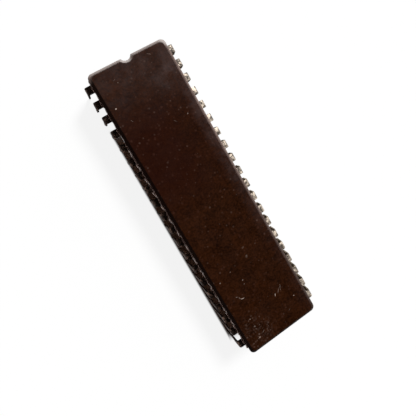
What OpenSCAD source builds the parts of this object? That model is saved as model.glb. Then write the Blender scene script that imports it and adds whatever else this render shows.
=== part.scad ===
// Ceramic dual in-line package with two rows of twenty leads.
// A pressed ceramic lid and base are joined by a solder-glass seal, which also
// holds the lead frame. The chip sits in a cavity in the base, and fine wires
// join it to the lead fingers.
// Origin: middle of the plane on which the pin tips stand. +Z is up, +Y points
// to the end with the notch, and pin 1 is beside the notch on the -X side.

/* [Lead rows] */
// Distance from one lead to the next in a row
pitch = 2.54; // [2.5:0.01:2.6]
// From the ceramic's side to the middle of a leg's thickness; with the
// ceramic's width this puts the two rows 15.24 apart
leg_reach = 1.02; // [0.9:0.02:1.2]

/* [Ceramic] */
// Width of the lid and base
body_w = 13.2; // [12.8:0.1:13.6]
// From the middle of the last lead to the end face of the ceramic
end_margin = 1.77; // [1.65:0.01:2.2]
// Thickness of the base
base_t = 1.9; // [1.5:0.05:2.4]
// Thickness of the lid
lid_t = 1.9; // [1.5:0.05:2.4]
// Radius of the four upright corners
corner_r = 0.8; // [0.6:0.05:1.0]
// Width of the sloping rim round the lid's top and the base's underside
rim_w = 0.47; // [0.2:0.01:0.55]
// Height of that rim
rim_h = 0.42; // [0.2:0.01:0.55]
// Width of the notch in the end face
notch_w = 1.7; // [1.2:0.1:2.4]
// Depth of the notch from the end face
notch_d = 0.58; // [0.4:0.02:0.8]

/* [Cavity] */
// Width of the cavity in the base, across the rows
cavity_w = 7.8; // [7.2:0.1:8.4]
// Length of the cavity in the base, along the rows
cavity_l = 9.6; // [9.0:0.1:10.4]
// Depth of the cavity in the base
cavity_d = 0.5; // [0.4:0.02:0.8]
// Radius of the corners of the cavity and of the lid's recess
cavity_r = 0.6; // [0.2:0.1:1.0]
// How far the lid's recess reaches past the cavity on every side
recess_margin = 1.3; // [1.0:0.1:1.6]
// Depth of the recess under the lid
recess_d = 0.5; // [0.4:0.05:0.9]

/* [Glass seal] */
// Glass under the leads
glass_under = 0.15; // [0.1:0.01:0.25]
// Glass over the leads
glass_over = 0.15; // [0.1:0.01:0.25]
// How far the glass stands back from the ceramic's edge between the leads
glass_inset = 0.06; // [0.02:0.01:0.15]
// How far the glass creeps out along each lead past the ceramic's edge
creep = 0.26; // [0.1:0.02:0.35]
// Width of the creep at the ceramic's edge
creep_w = 1.75; // [1.5:0.05:2.0]

/* [Leads] */
// Thickness of the lead frame
lead_t = 0.25; // [0.2:0.01:0.3]
// Width of the shoulder and of the upper leg
shoulder_w = 1.32; // [1.1:0.02:1.5]
// Inner radius of the bend
bend_r = 0.25; // [0.15:0.05:0.35]
// Width of the pin below the seating plane
pin_w = 0.46; // [0.4:0.01:0.52]
// Length of the pin below the seating plane
pin_l = 3.7; // [3.2:0.1:4.2]
// Height of the sloping step from the upper leg to the pin
step_h = 0.45; // [0.2:0.05:0.6]
// Width of the flat end of a pin
tip_w = 0.26; // [0.2:0.02:0.36]
// Length of the taper at the end of a pin
tip_l = 0.6; // [0.3:0.05:1.0]
// Gap between the seating plane and the underside of the base
standoff = 0.95; // [0.5:0.05:1.5]
// Outward lean of the -X row at the notch end, in degrees
lean_notch = 1; // [0:0.5:6]
// Outward lean of the -X row at the far end, in degrees
lean_far = 4.5; // [0:0.5:6]
// Outward lean of the +X row, in degrees
lean_plus = 3; // [0:0.5:6]
// Width of a finger at the cavity
finger_w = 0.26; // [0.2:0.01:0.3]
// Length of the full-width root of a lead inside the ceramic's edge
root_l = 0.9; // [0.6:0.05:1.2]
// How far the finger ends stand back from the cavity's edge
finger_setback = 0.3; // [0.1:0.05:0.5]

/* [Chip] */
// Width of the chip across the rows
die_w = 5.8; // [5.0:0.1:6.4]
// Length of the chip along the rows
die_l = 7.0; // [6.0:0.1:8.0]
// Thickness of the chip
die_t = 0.45; // [0.3:0.05:0.5]
// Thickness of the layer under the chip
attach_t = 0.05; // [0.03:0.01:0.08]
// How far that layer spreads past the chip
attach_spread = 0.15; // [0.05:0.05:0.3]
// Diameter of the bond wires
wire_d = 0.032; // [0.025:0.001:0.05]
// Bend radius of the bond wires
wire_bend_r = 0.2; // [0.1:0.02:0.25]
// Distance from the chip's edge to the middle of a bond pad
pad_inset = 0.2; // [0.15:0.05:0.3]
// Distance from a finger's end to the wire on it
wire_landing = 0.25; // [0.15:0.05:0.35]

/* [Hidden] */
// Leads in one row, and leads in one quarter of the package
row_n = 20;
quarter_n = row_n / 2;
// Leads of each quarter whose fingers end on the cavity's long side
side_n = 3;
// Flats that make up a bend, and the front of the glass round a lead
bend_steps = 5;
creep_steps = 4;

// Heights, from the pin tips up
base_z = pin_l + standoff;
bed_z = base_z + base_t;
lead_z = bed_z + glass_under;
lead_top = lead_z + lead_t;
lid_z = lead_top + glass_over;

// Places across and along the package
body_l = (row_n - 1) * pitch + 2 * end_margin;
row_gap = body_w + 2 * leg_reach;
leg_outer = (row_gap + lead_t) / 2;
bend_x = leg_outer - bend_r - lead_t;
bend_z = lead_z - bend_r;
root_x = body_w / 2 - root_l;
creep_root = body_w / 2 - root_l / 2;
finger_x = cavity_w / 2 + finger_setback;
finger_y = cavity_l / 2 + finger_setback;
side_step = cavity_l / 2 / side_n;
end_step = cavity_w / 2 / (quarter_n - side_n);
die_z = bed_z - cavity_d + attach_t;
wire_z = lead_top + lead_t / 4 + wire_bend_r;

// The notch is an arc of this radius about a point outside the end face
notch_r = (notch_w * notch_w / 4 + notch_d * notch_d) / (2 * notch_d);
notch_out = notch_r - notch_d;

CERAMIC = [0.2, 0.12, 0.09];
GLASS = [0.35, 0.3, 0.3];
TIN = [0.7, 0.67, 0.6];
// Smoothness of round shapes, and flats round the very thin wires and their bends
fine = 64;
wire_fine = 6;
wire_bend_fine = 8;
// Reach of a cutter past the face that it cuts
past = 1;

function two_digits(n) = str(n < 10 ? "0" : "", n);
function lead_name(pin) = str("lead_", two_digits(pin));

// Pins run down the -X row from the notch and back up the +X row
function on_minus_row(pin) = pin <= row_n;
function place_in_row(pin) = on_minus_row(pin) ? pin - 1 : 2 * row_n - pin;
function lead_y(pin) = ((row_n - 1) / 2 - place_in_row(pin)) * pitch;
// Step of a lead from the middle of the package, from 0
function quarter_step(pin) = round(abs(lead_y(pin)) / pitch - 0.5);
function lean(pin) = on_minus_row(pin)
    ? lean_notch + (lean_far - lean_notch) * place_in_row(pin) / (row_n - 1)
    : lean_plus;

// Where the finger of a quarter's lead number k ends, and its pad on the chip
function ends_on_side(k) = k < side_n;
function end_place(k) = (quarter_n - k - 0.5) * end_step;
function finger_end(k) = ends_on_side(k)
    ? [finger_x, (k + 0.5) * side_step]
    : [end_place(k), finger_y];
function wire_end(k) = ends_on_side(k)
    ? finger_end(k) + [wire_landing, 0]
    : finger_end(k) + [0, wire_landing];
function pad(k) = ends_on_side(k)
    ? [die_w / 2 - pad_inset, finger_end(k)[1] * die_l / cavity_l]
    : [finger_end(k)[0] * die_w / cavity_w, die_l / 2 - pad_inset];

// Draws its children, made for the +X +Y quarter, where a pin is
module in_quarter_of(pin) {
    mirror([on_minus_row(pin) ? 1 : 0, 0, 0])
        mirror([0, lead_y(pin) < 0 ? 1 : 0, 0])
            children();
}

module rounded_rectangle(w, l, r) {
    square([w, l - 2 * r], center = true);
    square([w - 2 * r, l], center = true);
    for (x = [-1, 1], y = [-1, 1])
        translate([x * (w / 2 - r), y * (l / 2 - r)]) circle(r = r, $fn = fine);
}

// Section of a slab of width w and thickness t whose two top edges slope
module rimmed_section(w, t) {
    polygon([
        [-w / 2, 0], [w / 2, 0], [w / 2, t - rim_h],
        [w / 2 - rim_w, t], [rim_w - w / 2, t], [-w / 2, t - rim_h]
    ]);
}

// One pressed ceramic half: rounded corners, and a sloping rim on its top
module pressed_slab(t) {
    rotate([90, 0, 0])
        linear_extrude(body_l - 2 * corner_r, center = true) rimmed_section(body_w, t);
    rotate([90, 0, 90])
        linear_extrude(body_w - 2 * corner_r, center = true) rimmed_section(body_l, t);
    for (x = [-1, 1], y = [-1, 1])
        translate([x * (body_w / 2 - corner_r), y * (body_l / 2 - corner_r), 0])
            rotate_extrude($fn = fine)
                intersection() {
                    rimmed_section(2 * corner_r, t);
                    square([corner_r, t]);
                }
}

// Outline that the notch takes out of the end
module notch_outline() {
    translate([0, body_l / 2 + notch_out]) circle(r = notch_r, $fn = fine);
}

// Carries the sloping rim round the notch at the top of a slab of thickness t
module notch_rim(t) {
    translate([0, body_l / 2 + notch_out, t - rim_h])
        rotate_extrude($fn = fine)
            polygon([
                [0, 0], [notch_r, 0], [notch_r + 2 * rim_w, 2 * rim_h], [0, 2 * rim_h]
            ]);
}

module notched_slab(t) {
    difference() {
        pressed_slab(t);
        translate([0, 0, -past]) linear_extrude(t + 2 * past) notch_outline();
        notch_rim(t);
    }
}

module ceramic_base() {
    color(CERAMIC)
        difference() {
            translate([0, 0, bed_z]) mirror([0, 0, 1]) notched_slab(base_t);
            translate([0, 0, bed_z - cavity_d])
                linear_extrude(cavity_d + past) rounded_rectangle(cavity_w, cavity_l, cavity_r);
        }
}

module recess_outline() {
    rounded_rectangle(cavity_w + 2 * recess_margin, cavity_l + 2 * recess_margin, cavity_r);
}

module ceramic_lid() {
    color(CERAMIC)
        difference() {
            translate([0, 0, lid_z]) notched_slab(lid_t);
            translate([0, 0, lid_z - past]) linear_extrude(recess_d + past) recess_outline();
        }
}

// Flat part of a lead in the +X +Y quarter: shoulder, root and finger
module lead_plate(pin) {
    k = quarter_step(pin);
    y = abs(lead_y(pin));
    tip = finger_end(k);
    half = ends_on_side(k) ? [0, finger_w / 2] : [-finger_w / 2, 0];
    translate([0, 0, lead_z])
        linear_extrude(lead_t)
            polygon([
                [bend_x, y - shoulder_w / 2], [bend_x, y + shoulder_w / 2],
                [root_x, y + shoulder_w / 2], tip + half,
                tip - half, [root_x, y - shoulder_w / 2]
            ]);
}

// Points of the bend on radius r, from one angle to another
function bend_arc(r, from, to) = [
    for (i = [0 : bend_steps])
        let (q = from + (to - from) * i / bend_steps)
        [bend_x + r * cos(q), bend_z + r * sin(q)]
];

// Where a leg's face that leaves the bend on radius r, leaning by a, meets the ground
function foot(r, a) = [bend_x + r * cos(a) + (bend_z + r * sin(a)) * tan(a), 0];

// Root, bend and leg of a lead, seen along the row
module side_profile(a) {
    outer_r = bend_r + lead_t;
    polygon(concat(
        [[root_x, lead_top]], bend_arc(outer_r, 90, a), [foot(outer_r, a), foot(bend_r, a)],
        bend_arc(bend_r, a, 90), [[root_x, lead_z]]
    ));
}

// Outline of a leg seen from the side of the package, from its tip up
module leg_outline() {
    half = [
        [tip_w / 2, 0], [pin_w / 2, tip_l], [pin_w / 2, pin_l],
        [shoulder_w / 2, pin_l + step_h], [shoulder_w / 2, lead_top]
    ];
    polygon(concat(half, [for (i = [len(half) - 1 : -1 : 0]) [-half[i][0], half[i][1]]]));
}

module lead(pin) {
    color(TIN)
        in_quarter_of(pin) {
            lead_plate(pin);
            translate([0, abs(lead_y(pin)), 0])
                intersection() {
                    rotate([90, 0, 0])
                        linear_extrude(shoulder_w, center = true) side_profile(lean(pin));
                    rotate([90, 0, 90]) linear_extrude(row_gap) leg_outline();
                }
        }
}

// Outline of the glass that has crept out round a lead: a shallow arc of flats
module creep_outline() {
    creep_r = (creep_w * creep_w / 4 + creep * creep) / (2 * creep);
    half = asin(creep_w / 2 / creep_r);
    polygon(concat(
        [[creep_root, creep_w / 2], [creep_root, -creep_w / 2]],
        [
            for (i = [0 : creep_steps])
                let (q = half * (2 * i / creep_steps - 1))
                [body_w / 2 + creep - creep_r * (1 - cos(q)), creep_r * sin(q)]
        ]
    ));
}

// Section of that glass, sloping up to the lid and down to the base
module creep_section() {
    polygon([
        [creep_root, bed_z], [body_w / 2, bed_z], [body_w / 2 + creep, lead_z],
        [body_w / 2 + creep, lead_top], [body_w / 2, lid_z], [creep_root, lid_z]
    ]);
}

module creep_bead() {
    intersection() {
        linear_extrude(lid_z) creep_outline();
        rotate([90, 0, 0]) linear_extrude(creep_w, center = true) creep_section();
    }
}

module seal_glass() {
    color(GLASS)
        difference() {
            union() {
                translate([0, 0, bed_z])
                    linear_extrude(glass_under)
                        difference() {
                            glass_outline();
                            rounded_rectangle(cavity_w, cavity_l, cavity_r);
                        }
                translate([0, 0, lead_z])
                    linear_extrude(lid_z - lead_z)
                        difference() {
                            glass_outline();
                            recess_outline();
                        }
                for (pin = [1 : 2 * row_n])
                    in_quarter_of(pin) translate([0, abs(lead_y(pin)), 0]) creep_bead();
            }
            for (pin = [1 : 2 * row_n]) in_quarter_of(pin) lead_plate(pin);
        }
}

module glass_outline() {
    difference() {
        rounded_rectangle(body_w - 2 * glass_inset, body_l - 2 * glass_inset, corner_r);
        notch_outline();
    }
}

module die_attach() {
    color("silver")
        translate([0, 0, bed_z - cavity_d])
            linear_extrude(attach_t)
                square([die_w + 2 * attach_spread, die_l + 2 * attach_spread], center = true);
}

module silicon_die() {
    color("slategray")
        translate([0, 0, die_z])
            linear_extrude(die_t) square([die_w, die_l], center = true);
}

// One wire in the +X +Y quarter: up from its pad, across, and down to its finger
module bond_wire(k) {
    from = pad(k);
    run = wire_end(k) - from;
    span = norm(run);
    die_top = die_z + die_t;
    translate([from[0], from[1], 0])
        rotate([0, 0, atan2(run[1], run[0])]) {
            wire_post(0, die_top);
            wire_post(span, lead_top);
            translate([wire_bend_r, 0, wire_z]) wire_corner(90);
            translate([span - wire_bend_r, 0, wire_z]) wire_corner(0);
            translate([wire_bend_r, 0, wire_z + wire_bend_r])
                rotate([0, 90, 0])
                    cylinder(h = span - 2 * wire_bend_r, d = wire_d, $fn = wire_fine);
        }
}

module wire_post(x, z) {
    translate([x, 0, z]) cylinder(h = wire_z - z, d = wire_d, $fn = wire_fine);
}

module wire_corner(start) {
    rotate([90, 0, 0])
        rotate_extrude(angle = 90, start = start, $fn = wire_bend_fine)
            translate([wire_bend_r, 0]) circle(d = wire_d, $fn = wire_fine);
}

module bond_wires() {
    color("gainsboro")
        for (pin = [1 : 2 * row_n]) in_quarter_of(pin) bond_wire(quarter_step(pin));
}

ceramic_base();
ceramic_lid();
seal_glass();
die_attach();
silicon_die();
bond_wires();
for (pin = [1 : 2 * row_n])
    lead(pin);
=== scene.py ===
"""Looks of a forty-lead ceramic dual in-line package, lying pins down on a pale floor.

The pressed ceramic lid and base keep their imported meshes, with softened edges. The forty leads
and the bead of solder glass round the seam are surfaces worked out here, in the same places and
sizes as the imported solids. Lengths are in metres, and those of the marks on the lid in millimetres.
"""

import logging
import math
from dataclasses import dataclass, field
from enum import Enum
from typing import Any, Sequence

import bpy
import numpy as np
from mathutils import Matrix, Vector

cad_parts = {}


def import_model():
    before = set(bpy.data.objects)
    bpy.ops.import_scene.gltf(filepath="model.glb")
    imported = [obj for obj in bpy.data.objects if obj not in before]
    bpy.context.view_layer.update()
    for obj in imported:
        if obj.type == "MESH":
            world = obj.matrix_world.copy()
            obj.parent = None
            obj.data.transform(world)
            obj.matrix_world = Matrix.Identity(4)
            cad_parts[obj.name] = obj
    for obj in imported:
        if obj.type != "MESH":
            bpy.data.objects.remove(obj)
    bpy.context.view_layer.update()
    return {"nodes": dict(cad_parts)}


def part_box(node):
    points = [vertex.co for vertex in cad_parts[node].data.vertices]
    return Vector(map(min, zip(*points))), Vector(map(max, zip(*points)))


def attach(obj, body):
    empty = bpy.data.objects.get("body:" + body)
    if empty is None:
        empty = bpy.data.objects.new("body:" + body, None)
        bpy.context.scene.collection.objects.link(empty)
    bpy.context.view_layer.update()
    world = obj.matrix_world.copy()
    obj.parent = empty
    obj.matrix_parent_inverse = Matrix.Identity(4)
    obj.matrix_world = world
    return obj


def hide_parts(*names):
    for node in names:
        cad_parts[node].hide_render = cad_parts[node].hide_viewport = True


MM = 0.001
BODY = "root"
# Name of the attribute that holds each lead point's share of painted shade.
INNER_SIDE = "inner_side"
WHITE = (1.0, 1.0, 1.0)
# Places of a Mix node's share, two colour inputs and colour output among its sockets.
MIX_INPUTS = (0, 6, 7)
MIX_OUTPUT = 2
log = logging.getLogger("package")

Array = np.ndarray
Span = tuple[float, float]
Colour = tuple[float, float, float]
Wave = tuple[float, int, float]
Socket = bpy.types.NodeSocket
Tree = bpy.types.NodeTree
Material = bpy.types.Material
Piece = bpy.types.Object
Nodes = dict[str, Piece]


@dataclass(frozen=True)
class Value:
    """What one socket puts out. Numbers can be added, subtracted, multiplied and divided."""

    graph: "Graph"
    socket: Socket

    def __add__(self, other: Any) -> "Value":
        """Returns self + other."""
        return self.graph.math("ADD", self, other)

    def __sub__(self, other: Any) -> "Value":
        """Returns self - other."""
        return self.graph.math("SUBTRACT", self, other)

    def __rsub__(self, other: float) -> "Value":
        """Returns other - self."""
        return self.graph.math("SUBTRACT", other, self)

    def __mul__(self, other: Any) -> "Value":
        """Returns self x other."""
        return self.graph.math("MULTIPLY", self, other)

    def __truediv__(self, other: Any) -> "Value":
        """Returns self / other."""
        return self.graph.math("DIVIDE", self, other)

    def __abs__(self) -> "Value":
        """Returns self without its sign."""
        return self.graph.math("ABSOLUTE", self)


class Graph:
    """Adds nodes to one node tree and joins their sockets."""

    def __init__(self, tree: Tree) -> None:
        """Keeps the tree that the nodes go into."""
        self.tree = tree

    def node(self, kind: str, *inputs: Any, **settings: Any) -> bpy.types.Node:
        """Adds a node.

        Args:
            kind: the node's type, such as ShaderNodeMath.
            inputs: what its first inputs take, in order.
            settings: properties to set on it.
        Returns:
            The new node.
        """
        made = self.tree.nodes.new(kind)
        for name, value in settings.items():
            setattr(made, name, value)
        for socket, value in zip(made.inputs, inputs):
            self.feed(socket, value)
        return made

    def find(self, kind: str) -> bpy.types.Node:
        """Returns the tree's first node of this kind."""
        return next(node for node in self.tree.nodes if node.type == kind)

    def out(self, node: bpy.types.Node, key: int | str = 0) -> Value:
        """Returns one output of a node, by its place or name."""
        return Value(self, node.outputs[key])

    def feed(self, socket: Socket, value: Any) -> None:
        """Links a value into an input, or sets a constant on it.

        Args:
            socket: the input.
            value: a Value, a number, or three numbers.
        """
        if isinstance(value, Value):
            self.tree.links.new(value.socket, socket)
        else:
            socket.default_value = (*value, 1.0) if socket.type == "RGBA" else value

    def fill(self, node: bpy.types.Node, **inputs: Any) -> bpy.types.Node:
        """Feeds a node's inputs by name.

        Args:
            node: the node.
            inputs: what its inputs take, their names with underscores for spaces.
        Returns:
            The same node.
        """
        for name, value in inputs.items():
            self.feed(node.inputs[name.replace("_", " ")], value)
        return node

    def math(self, operation: str, a: Any, b: Any = 0.0, clamp: bool = False) -> Value:
        """Returns the result of a Math node on a and b."""
        return self.out(self.node("ShaderNodeMath", a, b, operation=operation, use_clamp=clamp))

    def most(self, first: Any, *others: Any) -> Value:
        """Returns the largest of some numbers."""
        for other in others:
            first = self.math("MAXIMUM", first, other)
        return first

    def vector(self, operation: str, a: Any, b: Any, result: str = "Vector") -> Value:
        """Returns the Vector or the Value of a Vector Math node on a and b."""
        return self.out(self.node("ShaderNodeVectorMath", a, b, operation=operation), result)

    def distance(self, a: Any, b: Any) -> Value:
        """Returns the distance between two points."""
        return self.vector("DISTANCE", a, b, "Value")

    def split(self, vector: Value) -> tuple[Value, Value, Value]:
        """Returns the x, y and z of a vector."""
        made = self.node("ShaderNodeSeparateXYZ", vector)
        return self.out(made, 0), self.out(made, 1), self.out(made, 2)

    def step(self, value: Any, low: float, high: float, to: Span = (0.0, 1.0)) -> Value:
        """Returns value carried smoothly from low..high to the two numbers in to."""
        ends = {"interpolation_type": "SMOOTHSTEP", "clamp": True}
        return self.out(self.node("ShaderNodeMapRange", value, low, high, *to, **ends))

    def mix(self, share: Any, a: Any, b: Any) -> Value:
        """Mixes two colours.

        Args:
            share: how much of the second there is, from 0 to 1.
            a: the first colour.
            b: the second colour.
        Returns:
            The colour that lies by share between them.
        """
        made = self.node("ShaderNodeMix", data_type="RGBA")
        for place, value in zip(MIX_INPUTS, (share, a, b)):
            self.feed(made.inputs[place], value)
        return self.out(made, MIX_OUTPUT)

    def noise(self, vector: Any, scale: Any, detail: float = 3.0, rough: float = 0.55) -> Value:
        """Returns the value of a noise texture, about 0.5 on average."""
        inputs = {"Vector": vector, "Scale": scale, "Detail": detail, "Roughness": rough}
        return self.out(self.fill(self.node("ShaderNodeTexNoise"), **inputs), "Fac")

    def seen(self, gloss: Any = 1.0) -> Value:
        """Tells apart what the eye sees from what lights the package.

        Args:
            gloss: the value for what is seen in a gloss or through glass.
        Returns:
            1 for rays from the camera, gloss for glossy and passing ones, and 0 for the others.
        """
        ray = self.node("ShaderNodeLightPath")
        bent = self.most(self.out(ray, "Is Glossy Ray"), self.out(ray, "Is Transmission Ray"))
        return self.most(self.out(ray, "Is Camera Ray"), bent * gloss)


def new_group(
    name: str, numbers: Sequence[str], outputs: Sequence[str], vectors: Sequence[str] = ()
) -> tuple[Graph, dict[str, Value], bpy.types.Node]:
    """Starts a shader node group, whose first input is always Vector.

    Args:
        name: the group's name.
        numbers: the names of its number inputs.
        outputs: the names of its outputs, all numbers.
        vectors: the names of further vector inputs.
    Returns:
        A Graph on the group's tree, its inputs by name, and its output node.
    """
    g = Graph(bpy.data.node_groups.new(name, "ShaderNodeTree"))
    places = ("Vector", *vectors)
    for side, keys, kind in (
        ("INPUT", places, "NodeSocketVector"),
        ("INPUT", numbers, "NodeSocketFloat"),
        ("OUTPUT", outputs, "NodeSocketFloat"),
    ):
        for key in keys:
            g.tree.interface.new_socket(name=key, in_out=side, socket_type=kind)
    start, end = g.node("NodeGroupInput"), g.node("NodeGroupOutput")
    return g, {key: g.out(start, key) for key in (*places, *numbers)}, end


def mottle_group() -> Tree:
    """Builds the grain of a pressed or plated surface: two noises, averaged and stretched.

    Returns:
        The group, with outputs Mask from 0 to 1 and Height for a bump.
    """
    g, given, end = new_group("mottle", ("Coarse", "Fine", "Contrast"), ("Mask", "Height"))
    coarse = g.noise(given["Vector"], given["Coarse"], 4.0, 0.6)
    fine = g.noise(given["Vector"], given["Fine"], 3.0, 0.6)
    centred = ((coarse + fine) * 0.5 - 0.5) * given["Contrast"]
    g.fill(end, Mask=g.math("ADD", centred, 0.5, clamp=True), Height=fine * 0.7 + coarse * 0.3)
    return g.tree


def speck_group() -> Tree:
    """Builds scattered specks: the middles of the cells whose own number is over a limit.

    Returns:
        The group, with output Mask, 1 at the middle of a speck.
    """
    g, given, end = new_group("specks", ("Scale", "Share", "Radius"), ("Mask",))
    cells = g.node("ShaderNodeTexVoronoi", feature="F1")
    g.fill(cells, Vector=given["Vector"], Scale=given["Scale"])
    own, size, _ = g.split(g.out(cells, "Color"))
    chosen = g.math("GREATER_THAN", own, 1.0 - given["Share"])
    radius = given["Radius"] * (size + 0.35)
    near = g.math("SUBTRACT", 1.0, g.out(cells, "Distance") / radius, clamp=True)
    g.fill(end, Mask=g.step(near, 0.0, 0.7) * chosen)
    return g.tree


def stroke_group() -> Tree:
    """Builds one scratch, scuff or spot: a soft ellipse, turned, bent and broken up by noise.

    Returns:
        The group, with output Mask.
    """
    numbers = ("Turn", "Half length", "Half width", "Bend", "Break up")
    g, given, end = new_group("stroke", numbers, ("Mask",), ("Centre",))
    turned = g.node("ShaderNodeVectorRotate", rotation_type="Z_AXIS")
    from_centre = g.vector("SUBTRACT", given["Vector"], given["Centre"])
    g.fill(turned, Vector=from_centre, Angle=given["Turn"])
    x, y, _ = g.split(g.out(turned))
    along = x / given["Half length"]
    along_sq = along * along
    across = (y + given["Bend"] * along_sq) / given["Half width"]
    solid = g.step(along_sq + across * across, 0.15, 1.0, (1.0, 0.0))
    broken = g.step(g.noise(given["Vector"], 9000.0, 2.0), 0.40, 0.56)
    g.fill(end, Mask=solid * (1.0 - given["Break up"] * (1.0 - broken)))
    return g.tree


def rub_and_highlight_group() -> Tree:
    """Builds rubbing and a painted highlight on the sloping rim round a flat face, more towards +X
    and the notch.

    The rim is where the larger of two distances is over 0: that outside a rounded rectangle, and
    notch reach - distance from the notch's middle. The first is the length of (past side, past
    end), each at least 0, plus the larger of the two where both are under 0, less the corner
    radius. The rubbing and the painted highlight grow along x and y and are broken up by noise.

    Returns:
        The group, with outputs Band, the whole rim, Mask, its rubbed and painted-highlight part, and
        Lip, the palest painted highlight, at the notch, at the corner beside it and in a line along
        that end.
    """
    numbers = ("Half width", "Half length", "Face height", "Rim", "Corner", "Notch reach")
    g, given, end = new_group("rim rub", numbers, ("Band", "Mask", "Lip"), ("Notch middle",))
    x, y, z = g.split(given["Vector"])
    radius, rim = given["Corner"], given["Rim"]
    past_side = abs(x) - given["Half width"] + radius
    past_end = abs(y) - given["Half length"] + radius
    far_side, far_end = g.most(past_side, 0.0), g.most(past_end, 0.0)
    within = g.math("MINIMUM", g.most(past_side, past_end), 0.0)
    past_plate = g.math("SQRT", far_side * far_side + far_end * far_end) + within - radius
    flat = g.vector("MULTIPLY", given["Vector"], (1.0, 1.0, 0.0))
    past_notch = given["Notch reach"] - g.distance(flat, given["Notch middle"])
    beyond = g.most(past_plate, past_notch) / rim
    drop = abs(z - given["Face height"]) / rim
    band = g.step(beyond, -0.20, 0.25) * g.step(drop, 0.85, 1.1, (1.0, 0.0))

    # Rubbing and painted highlight on the +X side and at the notch end, stronger towards the notch.
    sides = g.most(g.step(x, 0.0, 6.0 * MM), g.step(y, 24.3 * MM, 25.3 * MM))
    wear_and_highlight = sides * g.step(y, -27.0 * MM, 14.0 * MM, (0.24, 0.95))
    worn_and_painted_light = g.step(g.noise(given["Vector"], 1500.0, 4.0, 0.7), 0.30, 0.66, (0.55, 1.0))
    outer = g.step(beyond, 0.25, 0.75, (0.42, 1.0))
    # Painted highlight: palest at the notch, at the corner beside it and along that end.
    at_notch = g.step(past_notch / rim, -0.10, 0.30) * g.step(x, 0.2 * MM, 0.8 * MM, (1.0, 0.1))
    at_corner = g.step(x + (y - 24.3 * MM), 6.2 * MM, 7.3 * MM)
    at_end = g.step(y, 25.3 * MM, 25.7 * MM, (0.0, 0.55))
    pale = g.most(at_notch, at_corner, at_end)
    g.fill(end, Band=band, Mask=(band * worn_and_painted_light) * (wear_and_highlight * outer), Lip=band * pale)
    return g.tree


@dataclass
class Groups:
    """The node groups that the finishes share."""

    mottle: Tree = field(default_factory=mottle_group)
    specks: Tree = field(default_factory=speck_group)
    stroke: Tree = field(default_factory=stroke_group)
    rub_and_highlight: Tree = field(default_factory=rub_and_highlight_group)


class Coat(Graph):
    """A new material's graph, with its shader, object coordinates and the shared groups."""

    def __init__(self, name: str, groups: Groups) -> None:
        """Starts the material.

        Args:
            name: the material's name.
            groups: the shared node groups.
        """
        self.material = bpy.data.materials.new(name)
        self.material.use_nodes = True
        super().__init__(self.material.node_tree)
        self.groups = groups
        self.shader = self.find("BSDF_PRINCIPLED")
        self.where = self.out(self.node("ShaderNodeTexCoord"), "Object")
        self.x, self.y, self.z = self.split(self.where)

    def place(self, group: Tree, **inputs: Any) -> dict[str, Value]:
        """Places a node group on the object's coordinates.

        Args:
            group: the group's tree.
            inputs: its other inputs by name, with underscores for spaces.
        Returns:
            The group's outputs by name.
        """
        made = self.node("ShaderNodeGroup", node_tree=group)
        self.fill(made, Vector=self.where, **inputs)
        return {socket.name: Value(self, socket) for socket in made.outputs}

    def grain(self, coarse: float, fine: float, contrast: float) -> tuple[Value, Value]:
        """Returns the mask and the height of a mottled grain with these scales."""
        made = self.place(self.groups.mottle, Coarse=coarse, Fine=fine, Contrast=contrast)
        return made["Mask"], made["Height"]

    def specks(self, scale: float, share: float, radius: float) -> Value:
        """Returns the mask of scattered specks with this scale, share of cells and radius."""
        return self.place(self.groups.specks, Scale=scale, Share=share, Radius=radius)["Mask"]

    def shade(self, **inputs: Any) -> None:
        """Feeds the shader's inputs by name, with underscores for spaces."""
        self.fill(self.shader, **inputs)

    def bump(self, height: Value, distance: float, strength: float) -> None:
        """Bumps the surface.

        Args:
            height: the bump's height from 0 to 1.
            distance: the size of a height of 1.
            strength: the share of the bump that is used.
        """
        made = self.node("ShaderNodeBump")
        self.fill(made, Height=height, Distance=distance, Strength=strength)
        self.shade(Normal=self.out(made))


@dataclass(frozen=True)
class Finish:
    """One finish: its material's name and the way its nodes are joined."""

    name: str

    def lay(self, g: Coat) -> None:
        """Joins the finish's nodes. Every finish has its own way.

        Args:
            g: the new material's graph.
        """
        raise NotImplementedError

    def make(self, groups: Groups) -> Material:
        """Makes the material.

        Args:
            groups: the shared node groups.
        Returns:
            The material.
        """
        g = Coat(self.name, groups)
        self.lay(g)
        return g.material


@dataclass(frozen=True)
class Stroke:
    """One mark on the lid's top: place, direction, half sizes and bend, in mm and degrees."""

    x: float
    y: float
    turn: float
    half_length: float
    half_width: float
    strength: float
    break_up: float = 0.6
    bend: float = 0.0


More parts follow.
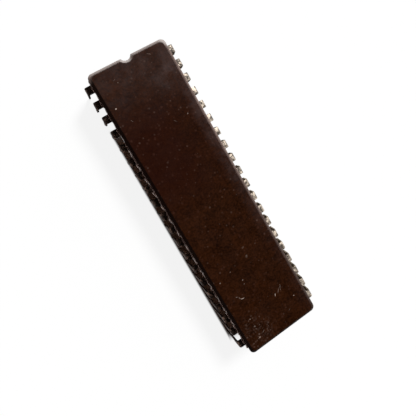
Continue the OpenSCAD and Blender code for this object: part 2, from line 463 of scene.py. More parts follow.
# Each row holds a Stroke's fields in their order.
LID_ROWS = (
    (-5.25, 19.6, 20, 0.17, 0.13, 0.60, 0.2),
    (4.0, 13.8, 60, 0.14, 0.09, 0.30, 0.2),
    (-3.25, 23.5, 30, 0.22, 0.05, 0.22),
    (-3.0, 22.9, 70, 0.12, 0.08, 0.22, 0.2),
    (3.3, 24.6, -35, 0.45, 0.05, 0.20, 0.6, 0.08),
    (-4.1, 16.9, -60, 0.28, 0.05, 0.18),
    (1.7, 13.7, -50, 0.40, 0.05, 0.12),
    (0.7, -11.1, 70, 0.32, 0.22, 0.10),
    (0.9, -9.5, 10, 0.30, 0.18, 0.08),
    (-2.9, -11.8, 10, 0.14, 0.10, 0.15, 0.2),
    (-5.2, -12.4, 40, 0.16, 0.12, 0.25, 0.3),
    (-1.8, -14.1, 20, 0.14, 0.11, 0.30, 0.2),
    (-1.9, -14.8, 20, 0.13, 0.09, 0.18, 0.2),
    (-4.05, -15.95, -25, 0.24, 0.05, 0.40, 0.4),
    (-3.35, -16.72, -14, 0.42, 0.07, 0.70, 0.35, -0.10),
    (-3.72, -16.35, -60, 0.20, 0.05, 0.45, 0.4),
    (1.63, -19.48, 60, 0.32, 0.055, 0.85, 0.2, 0.03),
    (2.45, -19.15, 52, 0.55, 0.045, 0.30, 0.8, 0.06),
    (3.05, -18.75, 62, 0.50, 0.045, 0.34, 0.8, -0.05),
    (2.85, -19.3, 75, 0.35, 0.04, 0.25, 0.8),
    (4.35, -21.5, 0, 0.10, 0.09, 0.62, 0.1),
    (2.5, -23.1, 30, 0.25, 0.05, 0.20),
    (-4.0, -20.4, 20, 0.13, 0.10, 0.35, 0.2),
    (-3.9, -21.9, 50, 0.16, 0.09, 0.35, 0.3),
    (-4.1, -24.0, 40, 0.20, 0.10, 0.50, 0.4),
    (-3.1, -23.5, 30, 0.34, 0.06, 0.25),
)
LID_STROKES = tuple(Stroke(*row) for row in LID_ROWS)


@dataclass(frozen=True)
class CeramicFinish(Finish):
    """Pressed dark brown ceramic: matt, fine-grained, dusty with a painted sheen at the notch end.
    Its rim has painted shade, and towards +X and the notch it is rubbed pale with a painted
    highlight.
    """

    sizes: "PackageSizes"
    face_height: float
    marks: tuple[Stroke, ...] = ()
    deep: Colour = (0.0076, 0.0018, 0.0003)
    warm: Colour = (0.0300, 0.0082, 0.0022)
    calm: Colour = (0.0165, 0.0030, 0.0014)
    edge: Colour = (0.0040, 0.0013, 0.0007)
    dust_and_sheen: Colour = (0.130, 0.095, 0.092)
    speck: Colour = (0.20, 0.135, 0.110)
    chip: Colour = (0.062, 0.025, 0.017)
    mark: Colour = (0.62, 0.50, 0.43)
    rub_and_highlight: Colour = (0.215, 0.154, 0.134)
    lip: Colour = (0.46, 0.42, 0.40)
    roughness: Span = (0.50, 0.64)
    specular: float = 0.02
    face_corner: float = 0.7 * MM

    def dusted_and_sheened(self, g: Coat, colour: Value) -> Value:
        """Lays a dusty layer with a painted sheen, patchy towards the notch and strongest round one
        smudged spot, and a band along the +X edge.

        Args:
            g: the material's graph.
            colour: the bare ceramic's colour.
        Returns:
            The dusty colour, with its painted sheen.
        """
        patches = g.step(g.noise(g.where, 420.0, 5.0, 0.7), 0.34, 0.70)
        # Dusty layer and painted sheen towards the notch end, strongest round one spot near the +X
        # corner.
        towards = g.step(g.y, 13.5 * MM, 24.5 * MM) * g.step(g.x, -8.0 * MM, 7.0 * MM, (0.65, 1.0))
        smudge_and_sheen = g.distance(g.where, (4.4 * MM, 20.4 * MM, self.face_height))
        dust_and_sheen_film = towards * (patches * g.step(smudge_and_sheen, 0.3 * MM, 3.0 * MM, (0.42, 0.13)) + 0.07)
        # Dusty layer and painted sheen in a band along the +X edge, stronger towards the notch.
        beside = g.step(g.x, 4.0 * MM, 6.2 * MM) * g.step(g.y, -16.0 * MM, 10.0 * MM, (0.03, 0.17))
        beside = beside * g.step(g.noise(g.where, 700.0, 5.0, 0.7), 0.38, 0.62, (0.35, 1.3))
        return g.mix(g.most(dust_and_sheen_film, beside) + patches * 0.012, colour, self.dust_and_sheen)

    def specked(self, g: Coat, colour: Value) -> Value:
        """Adds a scuffed haze near one corner, specks in it, and chips and specks in wide regions.

        Args:
            g: the material's graph.
            colour: the colour so far.
        Returns:
            The specked colour.
        """
        scuffed = g.distance(g.where, (-3.9 * MM, -22.8 * MM, self.face_height))
        near = g.step(scuffed, 0.8 * MM, 4.2 * MM, (1.0, 0.0))
        wide = g.step(g.noise(g.where, 260.0, 3.0, 0.6), 0.35, 0.65, (0.25, 1.0))
        haze = near * g.step(g.noise(g.where, 2600.0, 4.0, 0.75), 0.50, 0.70, (0.0, 0.20))
        colour = g.mix(haze, colour, self.speck)
        for scale, share, radius, strength, tint, region in (
            (2600.0, 0.42, 0.46, 0.36, self.speck, near),
            (2100.0, 0.26, 0.48, 0.38, self.chip, wide),
            (2300.0, 0.12, 0.42, 0.18, self.speck, wide),
        ):
            colour = g.mix(g.specks(scale, share, radius) * region * strength, colour, tint)
        return colour

    def worn_and_painted_light(self, g: Coat, colour: Value) -> Value:
        """Lays painted shade on the rim, rubs it pale with a painted highlight, and draws the
        scratches, scuffs and spots.

        Args:
            g: the material's graph.
            colour: the colour so far.
        Returns:
            The colour with the rim's painted shade and highlight, its rubbing and its marks.
        """
        sizes = self.sizes
        rub_and_highlight = g.place(
            g.groups.rub_and_highlight,
            Half_width=sizes.half_width - sizes.rim,
            Half_length=sizes.half_length - sizes.rim,
            Face_height=self.face_height,
            Rim=sizes.rim,
            Corner=self.face_corner,
            Notch_middle=(0.0, sizes.notch_middle, 0.0),
            Notch_reach=sizes.notch_radius + sizes.rim,
        )
        # Painted shade: the whole rim darker, as it stays on the -X and far sides.
        colour = g.mix(rub_and_highlight["Band"] * 0.75, colour, self.edge)
        # Rubbing and painted highlight on the +X side and at the notch end.
        colour = g.mix(rub_and_highlight["Mask"], colour, self.rub_and_highlight)
        # Painted highlight at the notch, at the corner beside it and along that end.
        colour = g.mix(rub_and_highlight["Lip"] * 0.6, colour, self.lip)
        for stroke in self.marks:
            drawn = g.place(
                g.groups.stroke,
                Centre=(stroke.x * MM, stroke.y * MM, 0.0),
                Turn=-math.radians(stroke.turn),
                Half_length=stroke.half_length * MM,
                Half_width=stroke.half_width * MM,
                Bend=stroke.bend * MM,
                Break_up=stroke.break_up,
            )
            colour = g.mix(drawn["Mask"] * stroke.strength, colour, self.mark)
        return colour

    def lay(self, g: Coat) -> None:
        """Joins the finish's nodes.

        Args:
            g: the new material's graph.
        """
        mask, height = g.grain(1500.0, 3000.0, 4.8)
        tone = g.step(g.noise(g.where, 330.0, 4.0, 0.65), 0.30, 0.72)
        colour = g.mix(mask * 0.62 + tone * 0.38, self.deep, self.warm)
        calm = g.step(g.y, -2.0 * MM, 7.0 * MM) * g.step(g.y, 14.0 * MM, 22.0 * MM, (0.62, 0.0))
        colour = g.mix(calm * g.step(g.x, -1.0 * MM, 4.0 * MM, (1.0, 0.3)), colour, self.calm)
        colour = self.worn_and_painted_light(g, self.specked(g, self.dusted_and_sheened(g, colour)))
        roughness = g.step(mask, 0.0, 1.0, self.roughness)
        g.shade(Base_Color=colour, Roughness=roughness, Specular_IOR_Level=self.specular)
        g.bump(height, 0.03 * MM, 0.45)


@dataclass(frozen=True)
class GlassFinish(Finish):
    """Dull solder glass: grey, faintly glossy, with brown stains and small bubbles.

    On the -X side it has painted shade in the seam and a painted highlight where it swells out.
    """

    name: str = "solder_glass"
    grey: Colour = (0.33, 0.28, 0.26)
    shaded: Colour = (0.05, 0.035, 0.03)
    stain: Colour = (0.14, 0.105, 0.09)
    pale: Colour = (0.92, 0.65, 0.57)
    roughness: Span = (0.22, 0.42)

    def lay(self, g: Coat) -> None:
        """Joins the finish's nodes.

        Args:
            g: the new material's graph.
        """
        mask, height = g.grain(1400.0, 7000.0, 3.0)
        bubbles = g.specks(5200.0, 0.25, 0.3)
        outer = g.step(g.x, -6.80 * MM, -6.55 * MM, (1.0, 0.0))
        colour = g.mix(mask, self.stain, self.grey)
        # Painted shade in the seam on the -X side.
        colour = g.mix(g.step(g.x, -6.55 * MM, -6.40 * MM, (0.9, 0.0)), colour, self.shaded)
        # Painted highlight: pale where the glass swells out on the -X side.
        colour = g.mix(outer * 0.9, colour, self.pale)
        g.shade(
            Base_Color=g.mix(bubbles * 0.5, colour, self.stain),
            Roughness=g.step(mask, 0.0, 1.0, self.roughness),
            Specular_IOR_Level=g.step(outer, 0.0, 1.0, (0.5, 1.0)),
        )
        g.bump(height - bubbles * 0.6, 0.03 * MM, 0.25)


class Tarnish(Enum):
    """How far the tin on a row of leads has darkened, by tarnish and, on the -X row, by painted
    shade too.
    """

    LIGHT = 0.56
    HEAVY = 0.76


@dataclass(frozen=True)
class LeadFinish(Finish):
    """Dull tin over stamped metal: cream-grey, blotched brown and black where it has tarnished,
    with painted shade on the legs, on the side that faces the package and on the stamped edges.
    """

    tarnish: Tarnish = Tarnish.LIGHT
    tin: Colour = (0.80, 0.70, 0.58)
    dull: Colour = (0.26, 0.205, 0.16)
    leg: Colour = (0.13, 0.10, 0.078)
    inner_shade: Colour = (0.30, 0.24, 0.17)
    dark: Colour = (0.022, 0.014, 0.009)
    roughness: Span = (0.40, 0.68)
    gloss: float = 0.5

    def lay(self, g: Coat) -> None:
        """Joins the finish's nodes.

        Args:
            g: the new material's graph.
        """
        mask, height = g.grain(1300.0, 4200.0, 4.5)
        pits = g.specks(6000.0, 0.35, 0.32)
        inner = g.out(g.node("ShaderNodeAttribute", attribute_name=INNER_SIDE), "Fac")
        limit = 0.72 - 0.38 * self.tarnish.value
        blotch = g.noise(g.where, 1900.0, 3.0, 0.60)
        more = g.step(g.y, 14.5 * MM, 21.5 * MM, (0.0, 0.035))
        spots = g.step(blotch + more, limit - 0.06, limit + 0.08)
        below = g.step(g.z, 6.40 * MM, 6.93 * MM, (0.85, 0.0))
        colour = g.mix(mask, self.dull, self.tin)
        # Painted shade: darker on the legs below the shoulder.
        colour = g.mix(below, colour, g.mix(mask, self.leg, self.dull))
        # Painted shade on the side that faces the package and on the stamped edges.
        colour = g.mix(inner * 0.9, colour, self.inner_shade)
        colour = g.mix(spots * 0.88, colour, self.dark)
        g.shade(
            Base_Color=g.mix(pits * 0.6, colour, self.dark),
            Metallic=0.8 - g.most(spots * 0.5, inner * 0.8),
            Specular_IOR_Level=g.step(inner, 0.0, 1.0, (self.gloss, 0.0)),
            Roughness=g.step(g.most(mask, spots), 0.0, 1.0, self.roughness),
        )
        g.bump(height, 0.02 * MM, 0.5)


LIGHT_TIN = LeadFinish("lead_tin_light")
# The -X row: heavier tarnish and painted shade, darker all through than the +X row's tin.
SHADED_HEAVY_TIN = LeadFinish(
    "lead_tin_heavy_shaded",
    Tarnish.HEAVY,
    tin=(0.58, 0.38, 0.29),
    dull=(0.155, 0.090, 0.066),
    leg=(0.085, 0.052, 0.040),
    inner_shade=(0.018, 0.010, 0.007),
    dark=(0.013, 0.0065, 0.0045),
    roughness=(0.60, 0.82),
    gloss=0.2,
)


@dataclass(frozen=True)
class InnerFinish(Finish):
    """A piece sealed inside the package: one tone over another, in fine grain."""

    low: Colour
    high: Colour
    metallic: float
    roughness: float
    coarse: float

    def lay(self, g: Coat) -> None:
        """Joins the finish's nodes.

        Args:
            g: the new material's graph.
        """
        mask, height = g.grain(self.coarse, self.coarse * 5, 2.5)
        g.shade(
            Base_Color=g.mix(mask, self.low, self.high),
            Metallic=self.metallic,
            Roughness=g.step(mask, 0.0, 1.0, (self.roughness * 0.8, self.roughness * 1.2)),
        )
        g.bump(height, 0.01 * MM, 0.3)


@dataclass(frozen=True)
class FloorFinish(Finish):
    """Matt white card with a faint grain. Outside the package's strip it glows for the eye alone, a
    painted light that lifts most of the shadow.

    The strip is as wide as the rows and narrows by taper along +Y. Under the -X leads, where the
    package shades it, the card has a brown painted shade.
    """

    name: str = "white_card"
    colour: Colour = (0.96, 0.96, 0.96)
    fibre: Colour = (0.93, 0.93, 0.93)
    # Share of the glow for the eye, a painted light over the shadow outside the strip.
    lift: float = 0.88
    # Brown painted shade under the -X leads.
    under: Colour = (0.60, 0.36, 0.25)
    under_to: float = 5.6 * MM
    half_width: float = 7.88 * MM
    ends: Span = (-24.8 * MM, 16.0 * MM)
    taper: float = 0.0154
    fade: float = 0.4 * MM
    end_share: float = 0.2

    def lay(self, g: Coat) -> None:
        """Joins the finish's nodes.

        Args:
            g: the new material's graph.
        """
        mask, _ = g.grain(300.0, 2500.0, 1.5)
        past_side = abs(g.x) - self.half_width + g.y * self.taper
        past_end = g.most(self.ends[0] - g.y, g.y - self.ends[1]) * self.end_share
        past = g.most(past_side, past_end)
        clear = g.step(g.most(past, g.x + self.under_to), -self.fade / 2, self.fade / 2)
        # Painted shade: the card is brown inside the strip on the -X side.
        card = g.mix(clear, self.under, g.mix(mask, self.fibre, self.colour))
        g.shade(Base_Color=card, Roughness=0.9, Specular_IOR_Level=0.0)
        # Painted light: a glow for the eye that lifts most of the shadow outside the strip.
        lifted = g.step(past, 0.0, self.fade, (0.0, self.lift)) * g.seen()
        white = g.node("ShaderNodeEmission")
        both = g.node("ShaderNodeMixShader", lifted, g.out(g.shader), g.out(white))
        g.fill(g.find("OUTPUT_MATERIAL"), Surface=g.out(both))


def new_object(name: str, data: Any) -> Piece:
    """Makes an object of this data and links it.

    Args:
        name: the object's name.
        data: its mesh, light or camera.
    Returns:
        The object.
    """
    made = bpy.data.objects.new(name, data)
    bpy.context.scene.collection.objects.link(made)
    return made


def mesh_object(name: str, vertices: Array, quads: Array, caps: Sequence[Array] = ()) -> Piece:
    """Makes an object of whole arrays.

    Args:
        name: the object's name.
        vertices: points, one row each.
        quads: four vertex numbers a row.
        caps: closed loops of vertex numbers, each one face.
    Returns:
        The linked object, with smooth faces.
    """
    mesh = bpy.data.meshes.new(name)
    faces = quads.tolist() + [loop.tolist() for loop in caps]
    mesh.from_pydata(vertices.astype(float), [], faces)
    mesh.update()
    mesh.polygons.foreach_set("use_smooth", np.ones(len(mesh.polygons), dtype=bool))
    return new_object(name, mesh)


def grid_quads(rows: int, columns: int, closed: tuple[bool, bool], flip: bool) -> Array:
    """Numbers the faces of a grid of points.

    Args:
        rows: rows in the grid.
        columns: points in a row.
        closed: whether the last row joins the first, and whether each row is a ring.
        flip: whether the faces turn the other way.
    Returns:
        Four vertex numbers for each face.
    """
    ring = np.arange(rows - 1 + closed[0])[:, None]
    spot = np.arange(columns - 1 + closed[1])[None, :]
    after, beside = (ring + 1) % rows, (spot + 1) % columns
    here, there = ring * columns, after * columns
    quads = np.stack([here + spot, here + beside, there + beside, there + spot], -1).reshape(-1, 4)
    return quads[:, ::-1] if flip else quads


def dress(piece: Piece, material: Material) -> None:
    """Gives a piece one material in every slot."""
    piece.data.materials.clear()
    piece.data.materials.append(material)


@dataclass(frozen=True)
class PackageSizes:
    """Sizes that the pieces share, as packed."""

    half_width: float
    half_length: float
    base_top: float
    lid_under: float
    lid_top: float
    rim: float = 0.47 * MM
    corner: float = 0.8 * MM
    pitch: float = 2.54 * MM
    row_count: int = 20
    notch_width: float = 1.7 * MM
    notch_depth: float = 0.58 * MM

    @classmethod
    def from_frame(cls) -> "PackageSizes":
        """Reads the ceramic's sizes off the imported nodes."""
        (_, base_high), (lid_low, lid_high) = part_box("ceramic_base"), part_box("ceramic_lid")
        return cls(lid_high.x, lid_high.y, base_high.z, lid_low.z, lid_high.z)

    @property
    def notch_radius(self) -> float:
        """Radius of the notch's arc."""
        return (self.notch_width**2 / 4 + self.notch_depth**2) / (2 * self.notch_depth)

    @property
    def notch_middle(self) -> float:
        """Place along Y of the middle of the notch's arc."""
        return self.half_length + self.notch_radius - self.notch_depth

    def lead_y(self, place: Array | int) -> Any:
        """Returns the middle of the lead at this place in its row, counted from the notch."""
        return ((self.row_count - 1) / 2 - place) * self.pitch


@dataclass
class CeramicHalves:
    """The pressed lid and base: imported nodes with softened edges."""

    sizes: PackageSizes
    groups: Groups
    edge: float = 0.05 * MM
    edge_faces: int = 2
    sharp_from: float = 30.0
    weld_within: float = 0.001 * MM

    def soften(self, piece: Piece) -> None:
        """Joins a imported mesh's loose triangles and rounds its sharp edges, with modifiers.

        Args:
            piece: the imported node's object.
        """
        weld = piece.modifiers.new("weld", "WELD")
        weld.merge_threshold = self.weld_within
        bevel = piece.modifiers.new("bevel", "BEVEL")
        bevel.width, bevel.segments = self.edge, self.edge_faces
        bevel.limit_method, bevel.angle_limit = "ANGLE", math.radians(self.sharp_from)
        bevel.miter_outer = "MITER_ARC"

    def build(self, nodes: Nodes) -> list[Piece]:
        """Softens and dresses the two halves.

        Args:
            nodes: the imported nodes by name.
        Returns:
            The two objects.
        """
        sizes = self.sizes
        finishes = {
            "ceramic_lid": CeramicFinish("ceramic_lid_brown", sizes, sizes.lid_top, LID_STROKES),
            "ceramic_base": CeramicFinish("ceramic_base_brown", sizes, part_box("ceramic_base")[0].z),
        }
        for name, finish in finishes.items():
            self.soften(nodes[name])
            dress(nodes[name], finish.make(self.groups))
        return [nodes[name] for name in finishes]


@dataclass
class SealBead:
    """The solder glass that shows in the seam: an uneven bead, swelling out along each lead."""

    sizes: PackageSizes
    groups: Groups
    inset: float = 0.045 * MM
    swell: float = 0.115 * MM
    swell_minus: float = 0.30 * MM
    clean_from: float = 15.0 * MM
    clean_fade: float = 3.0 * MM
    depth: float = 0.40 * MM
    creep: float = 0.30 * MM
    creep_half: float = 0.95 * MM
    lead_half_share: float = 0.45
    side_from: float = 0.9
    spacing: float = 0.07 * MM
    arc_points: int = 16
    profile_points: int = 13
    waves: tuple[Wave, ...] = ((0.25, 53, 1.0), (0.20, 97, 2.6), (0.08, 181, 0.0))

    def outline(self) -> tuple[Array, Array]:
        """Works out the ceramic's outline and its outward normals.

        A rounded rectangle is walked by arc length: four straight runs and four quarter circles.
        Where it crosses the notch it follows the notch's arc, y = middle - sqrt(radius^2 - x^2).
        The normal is the tangent turned by a right angle.

        Returns:
            Points and unit normals in the plane, one row each.
        """
        s = self.sizes
        r = s.corner
        w, l = s.half_width - r, s.half_length - r
        arcs: list[Array] = []
        for x, y, start in ((w, l, 0.0), (-w, l, 90.0), (-w, -l, 180.0), (w, -l, 270.0)):
            turn = np.radians(start + np.linspace(0.0, 90.0, self.arc_points))
            arcs.append(np.stack([x + r * np.cos(turn), y + r * np.sin(turn)], -1))
        runs: list[Array] = []
        for arc, (foot, *_) in zip(arcs, arcs[1:] + arcs[:1]):
            length = float(np.linalg.norm(foot - arc[-1]))
            share = np.linspace(0.0, 1.0, int(length / self.spacing) + 2)[1:-1, None]
            runs += [arc, arc[-1] * (1 - share) + foot * share]
        points = np.concatenate(runs)
        radius, middle = s.notch_radius, s.notch_middle
        inside = (points[:, 1] > 0) & (np.abs(points[:, 0]) < s.notch_width / 2)
        arc_y = middle - np.sqrt(np.maximum(radius**2 - points[:, 0] ** 2, 0.0))
        points[:, 1] = np.where(inside, arc_y, points[:, 1])
        tangent = np.roll(points, -1, 0) - np.roll(points, 1, 0)
        tangent /= np.linalg.norm(tangent, axis=1, keepdims=True)
        return points, np.stack([tangent[:, 1], -tangent[:, 0]], -1)

    def build(self, nodes: Nodes) -> list[Piece]:
        """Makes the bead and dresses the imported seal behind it.

        The surface is a function of the place along the outline, u, and of the height in the
        seam, v. It stands out by swell x (1 - (2v - 1)^2) x (uneven waves in u) - inset, more on
        the -X side, or if that is more by creep x (1 - (|y - lead| / half)^2.6) x (1 - lip)^1.6 -
        inset beside a lead, where lip is 0 over the lead's thickness and 1 at the ceramic. Two
        more rows close the ring inside the package. A wave is its size, count and start.

        Args:
            nodes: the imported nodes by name.
        Returns:
            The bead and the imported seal.
        """
        s = self.sizes
        line, normal = self.outline()
        v = np.linspace(0.0, 1.0, self.profile_points)
        rise = np.abs(2 * v - 1)
        along = np.cumsum(np.linalg.norm(line - np.roll(line, 1, 0), axis=1))
        turns = 2 * np.pi * along / along[-1]
        waves = sum((size * np.sin(n * turns + start) for size, n, start in self.waves), 1.0)
        leads = s.lead_y(np.arange(s.row_count))
        nearest = np.min(np.abs(line[:, 1][:, None] - leads[None, :]), axis=1)
        beside = np.clip(1 - (nearest / self.creep_half) ** 2.6, 0.0, 1.0)
        beside = beside * (np.abs(normal[:, 0]) > self.side_from)
        lip = np.clip((rise - self.lead_half_share) / (1 - self.lead_half_share), 0.0, 1.0)
        creep = self.creep * beside[:, None] * (1 - lip[None, :]) ** 1.6
        minus = np.clip((self.clean_from - line[:, 1]) / self.clean_fade, 0.0, 1.0)
        minus = minus * (normal[:, 0] < -self.side_from)
        swell = (self.swell + (self.swell_minus - self.swell) * minus) * waves
        bulge = swell[:, None] * (1 - rise[None, :] ** 2)
        out = np.maximum(bulge - self.inset, creep - self.inset)
        out = np.concatenate([out, np.full((len(line), 2), -self.depth)], 1)
        z = np.concatenate([s.base_top + v * (s.lid_under - s.base_top), [s.lid_under, s.base_top]])
        flat = line[:, None, :] + normal[:, None, :] * out[:, :, None]
        points = np.concatenate([flat, np.broadcast_to(z[None, :, None], (*out.shape, 1))], -1)
        quads = grid_quads(len(line), len(z), (True, True), True)
        bead = mesh_object("seal_bead", points.reshape(-1, 3), quads)
        glass = GlassFinish().make(self.groups)
        dress(bead, glass)
        dress(nodes["seal_glass"], glass)
        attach(bead, BODY)
        return [bead, nodes["seal_glass"]]


class Row(Enum):
    """The two rows of leads, by the side of the package that they stand on."""

    MINUS = -1
    PLUS = 1


@dataclass
class LeadRow:
    """One row of twenty stamped leads: finger, root, shoulder, bend, wide leg and narrow pin."""

    sizes: PackageSizes
    groups: Groups
    row: Row
    finish: LeadFinish
    lean_notch: float
    lean_far: float
    thickness: float = 0.25 * MM
    edge: float = 0.045 * MM
    shoulder: float = 1.32 * MM
    bend: float = 0.25 * MM
    reach: float = 1.02 * MM
    glass_under: float = 0.15 * MM
    root: float = 0.9 * MM
    pin_width: float = 0.46 * MM
    pin_length: float = 3.7 * MM
    step: float = 0.45 * MM
    tip_width: float = 0.26 * MM
    tip_length: float = 0.6 * MM
    finger: float = 0.26 * MM
    cavity: Span = (7.8 * MM, 9.6 * MM)
    setback: float = 0.3 * MM
    side_count: int = 3

    def finger_end(self, step: int) -> tuple[Array, Array]:
        """Finds where a finger ends at the cavity.

        Args:
            step: the lead's place from the middle of the package, from 0.
        Returns:
            The end's middle and the half of its width, in the +X +Y quarter.
        """
        wide, long = self.cavity
        if step < self.side_count:
            middle = (wide / 2 + self.setback, (step + 0.5) * long / 2 / self.side_count)
            return np.array(middle), np.array([0.0, self.finger / 2])
        places = self.sizes.row_count // 2 - self.side_count
        across = (self.sizes.row_count / 2 - step - 0.5) * wide / 2 / places
        return np.array([across, long / 2 + self.setback]), np.array([-self.finger / 2, 0.0])

    def leg_width(self, z: Array) -> Array:
        """Works out a leg's width: straight lines between corners, averaged over 0.08 mm of height.

        Args:
            z: heights over the tips.
        Returns:
            The width at each height.
        """
        heights = (0.0, self.tip_length, self.pin_length, self.pin_length + self.step)
        widths = (self.tip_width, self.pin_width, self.pin_width, self.shoulder)
        near = z + np.linspace(-0.04, 0.04, 5)[:, None] * MM
        return np.mean(np.interp(np.maximum(near, 0.0), heights, widths), axis=0)

    def edges(self, place: int) -> tuple[Array, Array, Array]:
        """Works out the lines that run down a lead's two edges, in the +X +Y quarter.

        The flat part runs straight from the finger's end to the root and on to the bend. The bend
        is an arc about a middle under the shoulder. The leg is a straight line that leans out by
        the row's angle, which grows evenly along the row. Each edge lies half the local width
        from the middle line.

        Args:
            place: the lead's place in its row, counted from the notch.
        Returns:
            The two edges and the direction of the lead's outer face, one row for each station.
        """
        s, t = self.sizes, self.thickness
        y = abs(s.lead_y(place))
        under = s.base_top + self.glass_under
        middle_x = s.half_width + self.reach + t / 2 - self.bend - t
        middle_z, radius = under - self.bend, self.bend + t / 2
        growth = (self.lean_far - self.lean_notch) * place / (s.row_count - 1)
        lean = math.radians(self.lean_notch + growth)
        end, half = self.finger_end(round(y / s.pitch - 0.5))
        side = np.array([0.0, self.shoulder / 2])
        root, bend = np.array([s.half_width - self.root, y]), np.array([middle_x, y])

        share = np.linspace(0.0, 1.0, 9)[:, None]
        onward = np.linspace(0.0, 1.0, 7)[1:-1, None]
        flats = []
        for sign in (-1.0, 1.0):
            tip, neck, knee = end + sign * half, root + sign * side, bend + sign * side
            finger, flat = tip * (1 - share) + neck * share, neck * (1 - onward) + knee * onward
            run = np.concatenate([finger, flat])
            flats.append(np.hstack([run, np.full((len(run), 1), under + t / 2)]))

        turn = np.linspace(math.pi / 2, lean, 13)
        arc = np.stack([np.cos(turn), np.sin(turn)], -1)
        bend_line = np.array([middle_x, middle_z]) + radius * arc
        foot_z = t / 2 * math.sin(lean)
        top = bend_line[-1, 1]
        stops = (
            top,
            self.pin_length + self.step + 0.1 * MM,
            self.pin_length - 0.1 * MM,
            self.tip_length + 0.08 * MM,
            foot_z + self.edge,
        )
        runs = [np.linspace(a, b, n)[1:] for a, b, n in zip(stops, stops[1:], (9, 15, 12, 9))]
        z = np.concatenate([*runs, [foot_z]])
        leg_line = np.stack([bend_line[-1, 0] + (top - z) * math.tan(lean), z], -1)
        line = np.concatenate([bend_line, leg_line])
        width = np.concatenate([np.full(len(turn), self.shoulder), self.leg_width(z)])
        level = np.full(len(flats[0]), math.pi / 2)
        tilt = np.concatenate([level, turn, np.full(len(z), lean)])
        up = np.stack([np.cos(tilt), np.zeros_like(tilt), np.sin(tilt)], -1)
        x = line[:, 0]
        legs = [np.stack([x, y + sign * width / 2, line[:, 1]], -1) for sign in (-1.0, 1.0)]
        low, high = (np.vstack(parts) for parts in zip(flats, legs))
        return low, high, up

    def surface(self, place: int) -> tuple[Array, Array, list[Array], Array]:
        """Carries a rounded rectangle along the lead.

        A ring's point is middle + a x (across) + b x (up), where (a, b) walk a rectangle of the
        local width and the strip's thickness whose corners are quarter circles of the edge's
        radius. The first and last ring are drawn in by a share of it, which rounds the ends.

        Args:
            place: the lead's place in its row, counted from the notch.
        Returns:
            The points, the side faces, the two end faces, and for each point its share of painted
            shade: 1 on the side that faces the package, 0.75 on the stamped edges and 0 on the outer
            side.
        """
        low, high, up = self.edges(place)
        across = high - low
        half = np.linalg.norm(across, axis=1, keepdims=True) / 2
        across = across / (2 * half)
        shrink = np.zeros_like(half)
        shrink[0], shrink[-1] = self.edge * 0.6, self.edge * 0.9
        corner = np.array([0, 90, 180, 270])[:, None]
        turn = np.radians((corner + np.array([0, 30, 60, 90])).reshape(-1))
        sign_a = np.repeat([1.0, -1.0, -1.0, 1.0], 4)
        sign_b = np.repeat([1.0, 1.0, -1.0, -1.0], 4)
        a = sign_a * (half - self.edge - shrink) + self.edge * np.cos(turn)
        b = sign_b * (self.thickness / 2 - self.edge - shrink) + self.edge * np.sin(turn)
        spread = across[:, None, :] * a[:, :, None]
        points = ((low + high) / 2)[:, None, :] + spread + up[:, None, :] * b[:, :, None]
        side_x, side_y = self.row.value, 1.0 if self.sizes.lead_y(place) > 0 else -1.0
        points = points * np.array([side_x, side_y, 1.0])
        rows, columns = points.shape[:2]
        flip = side_x * side_y > 0
        first, last = np.arange(columns), (rows - 1) * columns + np.arange(columns)
        ends = [first[::-1], last] if flip else [first, last[::-1]]
        # Share of painted shade: the side that faces the package and the stamped edges.
        dim = np.maximum(sign_b < 0, 0.75 * (np.abs(np.cos(turn)) > 0.8))
        inner = np.broadcast_to(dim, (rows, columns)).astype(np.float32).reshape(-1)
        quads = grid_quads(rows, columns, (False, True), flip)
        return points.reshape(-1, 3), quads, ends, inner

    def build(self) -> list[Piece]:
        """Makes, places and dresses the row's leads.

        Returns:
            The twenty objects, from the notch on.
        """
        material = self.finish.make(self.groups)
        made = []
        for place in range(self.sizes.row_count):
            pin = place + 1 if self.row is Row.MINUS else 2 * self.sizes.row_count - place
            points, quads, ends, inner = self.surface(place)
            lead = mesh_object(f"stamped_lead_{pin:02d}", points, quads, ends)
            lead.data.attributes.new(INNER_SIDE, "FLOAT", "POINT").data.foreach_set("value", inner)
            dress(lead, material)
            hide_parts(f"lead_{pin:02d}")
            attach(lead, BODY)
            made.append(lead)
        return made


@dataclass
class Chip:
    """What is sealed in the cavity: the chip, the paste under it and the bond wires."""

    groups: Groups
    finishes: tuple[InnerFinish, ...] = (
        InnerFinish("silicon_die", (0.10, 0.105, 0.13), (0.20, 0.21, 0.25), 0.2, 0.18, 900.0),
        InnerFinish("die_attach", (0.42, 0.37, 0.27), (0.62, 0.56, 0.43), 0.8, 0.5, 2500.0),
        InnerFinish("bond_wires", (0.74, 0.74, 0.76), (0.88, 0.88, 0.90), 1.0, 0.28, 9000.0),
    )

    def build(self, nodes: Nodes) -> list[Piece]:
        """Dresses the sealed nodes.

        Args:
            nodes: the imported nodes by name.
        Returns:
            The three objects.
        """
        for finish in self.finishes:
            dress(nodes[finish.name], finish.make(self.groups))
        return [nodes[finish.name] for finish in self.finishes]


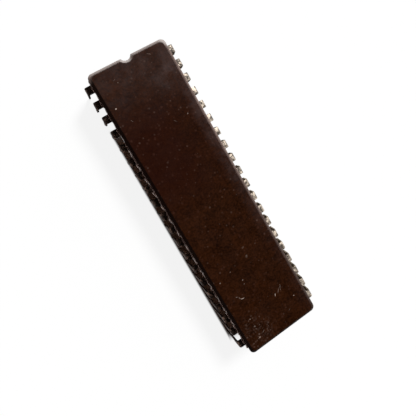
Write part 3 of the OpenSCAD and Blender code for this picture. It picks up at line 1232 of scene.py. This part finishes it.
@dataclass
class Studio:
    """The pale floor, the key light from the notch end's right, and a dim room, paler there."""

    groups: Groups
    floor_half: float = 3.0
    floor_points: int = 5
    floor_drop: float = 0.01 * MM
    key_from: Vector = field(default_factory=lambda: Vector((0.66, 0.46, 1.0)))
    key_strength: float = 3.6
    key_spread: float = 14.0
    pale_side: tuple[float, float, float] = (0.80, 0.58, 0.15)
    pale: Colour = (0.85, 0.85, 0.85)
    dim: Colour = (0.015, 0.0085, 0.0060)

    def floor(self) -> None:
        """Lays the floor: a flat grid of points."""
        count = self.floor_points
        line = np.linspace(-self.floor_half, self.floor_half, count)
        x, y = np.meshgrid(line, line, indexing="ij")
        points = np.stack([x, y, np.full_like(x, -self.floor_drop)], -1).reshape(-1, 3)
        made = mesh_object("floor", points, grid_quads(count, count, (False, False), True))
        dress(made, FloorFinish().make(self.groups))

    def key(self) -> None:
        """Hangs the key light: a broad distant disc, even over the whole floor."""
        lamp = bpy.data.lights.new("key", "SUN")
        lamp.energy, lamp.angle = self.key_strength, math.radians(self.key_spread)
        made = new_object("key", lamp)
        made.rotation_euler = self.key_from.to_track_quat("Z", "Y").to_euler()

    def room(self) -> None:
        """Lights the room, from dim to pale towards one side.

        The camera sees white all round, and gloss sees white near the horizon.
        """
        world = bpy.data.worlds.new("room")
        world.use_nodes = True
        bpy.context.scene.world = world
        g = Graph(world.node_tree)
        towards = g.out(g.node("ShaderNodeTexCoord"), "Generated")
        facing = g.vector("DOT_PRODUCT", towards, self.pale_side, "Value")
        light = g.mix(g.step(facing, 0.2, 0.95), self.dim, self.pale)
        low = g.step(abs(g.split(towards)[2]), 0.12, 0.30, (1.0, 0.0))
        g.fill(g.find("BACKGROUND"), Color=g.mix(g.seen(low), light, WHITE))

    def build(self) -> None:
        """Sets floor, key, room and view transform."""
        self.floor()
        self.key()
        self.room()
        bpy.context.scene.view_settings.view_transform = "Standard"


@dataclass(frozen=True)
class Camera:
    """The camera, where it stood for the picture.

    heading is the direction on the table that points up in the picture, from +Y towards +X.
    """

    position: Vector = Vector((-7.8, 13.0, 71.1)) * MM
    aim: Vector = Vector((5.902, 4.713, 9.0)) * MM
    heading: float = 30.226
    lens: float = 34.34
    shift: Span = (-0.0433, -0.1226)
    sensor: float = 36.0
    clip: Span = (0.001, 20.0)

    def build(self) -> None:
        """Makes the camera and looks through it."""
        data = bpy.data.cameras.new("camera")
        data.sensor_width, data.lens = self.sensor, self.lens
        data.shift_x, data.shift_y = self.shift
        data.clip_start, data.clip_end = self.clip
        back = (self.position - self.aim).normalized()
        turn = math.radians(self.heading)
        level = Vector((math.sin(turn), math.cos(turn), 0.0))
        up = (level - back * level.dot(back)).normalized()
        right = up.cross(back)
        made = new_object("camera", data)
        turned = Matrix((right, up, back)).transposed().to_4x4()
        made.matrix_world = Matrix.Translation(self.position) @ turned
        bpy.context.scene.camera = made


def main() -> None:
    """Loads the frame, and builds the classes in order."""
    logging.basicConfig(level=logging.INFO, format="%(message)s")
    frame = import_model()
    nodes = frame["nodes"]
    groups = Groups()
    sizes = PackageSizes.from_frame()
    Camera().build()
    Studio(groups).build()
    pieces = [
        *CeramicHalves(sizes, groups).build(nodes),
        *SealBead(sizes, groups).build(nodes),
        *LeadRow(sizes, groups, Row.MINUS, SHADED_HEAVY_TIN, 1.0, 4.5).build(),
        *LeadRow(sizes, groups, Row.PLUS, LIGHT_TIN, 3.0, 3.0).build(),
        *Chip(groups).build(nodes),
    ]
    for piece in pieces:
        log.info("%s: %d points", piece.name, len(piece.data.vertices))


if __name__ == "__main__":
    main()
